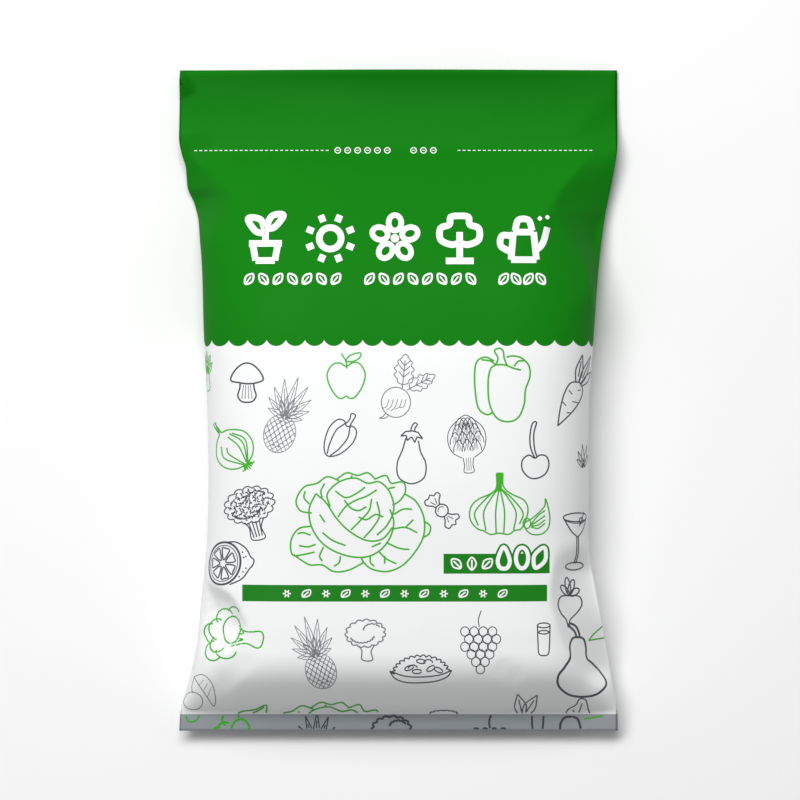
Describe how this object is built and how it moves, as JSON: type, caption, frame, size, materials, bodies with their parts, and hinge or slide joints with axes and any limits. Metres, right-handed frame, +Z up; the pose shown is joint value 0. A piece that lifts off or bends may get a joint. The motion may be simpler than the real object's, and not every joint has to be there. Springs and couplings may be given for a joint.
{
  "type": "compost bag",
  "caption": "Sealed pillow bag of compost lying on its back, with a domed filled body, an empty flat header above the fill and a narrow skirt below the bottom seal.",
  "frame": {"origin": "on the floor under the middle of the bag's bounding box", "axes": "+Z up out of the printed front panel, +Y along the bag towards the empty header, +X across the bag"},
  "size_m": [0.35, 0.528, 0.098],
  "materials": {
    "printed_film": "satin printed polyethylene film: white with a green upper field"
  },
  "bodies": {
    "root": {"sealed_bag": "printed_film"}
  },
  "joints": []
}
